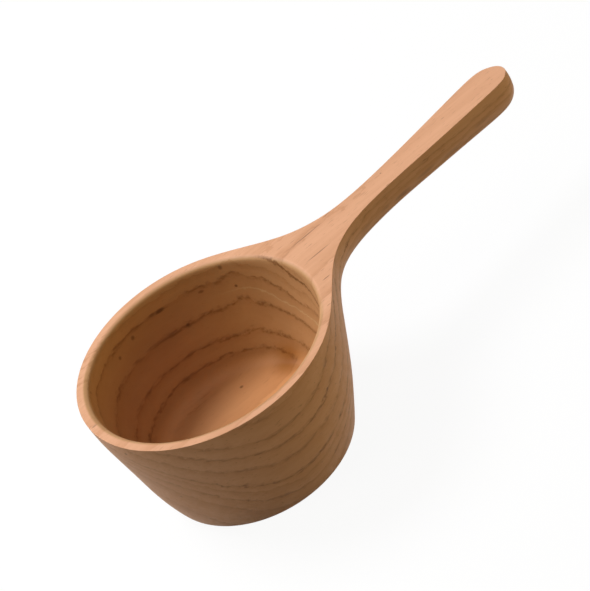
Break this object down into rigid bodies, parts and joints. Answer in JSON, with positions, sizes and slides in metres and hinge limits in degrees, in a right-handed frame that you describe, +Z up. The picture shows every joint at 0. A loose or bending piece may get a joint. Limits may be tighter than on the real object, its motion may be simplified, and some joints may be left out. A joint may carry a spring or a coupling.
{
  "type": "coffee measuring spoon",
  "caption": "Carved wooden coffee measure: a round tapered cup with a flat rim that runs level into a slim straight handle, for scooping and levelling ground coffee.",
  "frame": {"origin": "centre of the cup's flat base, on the surface that the spoon stands on", "axes": "+Z up out of the cup's mouth, +X from the cup along the handle, +Y to the left seen from the cup"},
  "size_m": [0.1163, 0.054, 0.0294],
  "materials": {
    "teak": "oiled, satin"
  },
  "bodies": {
    "root": {"cup": "teak", "handle": "teak"}
  },
  "joints": []
}
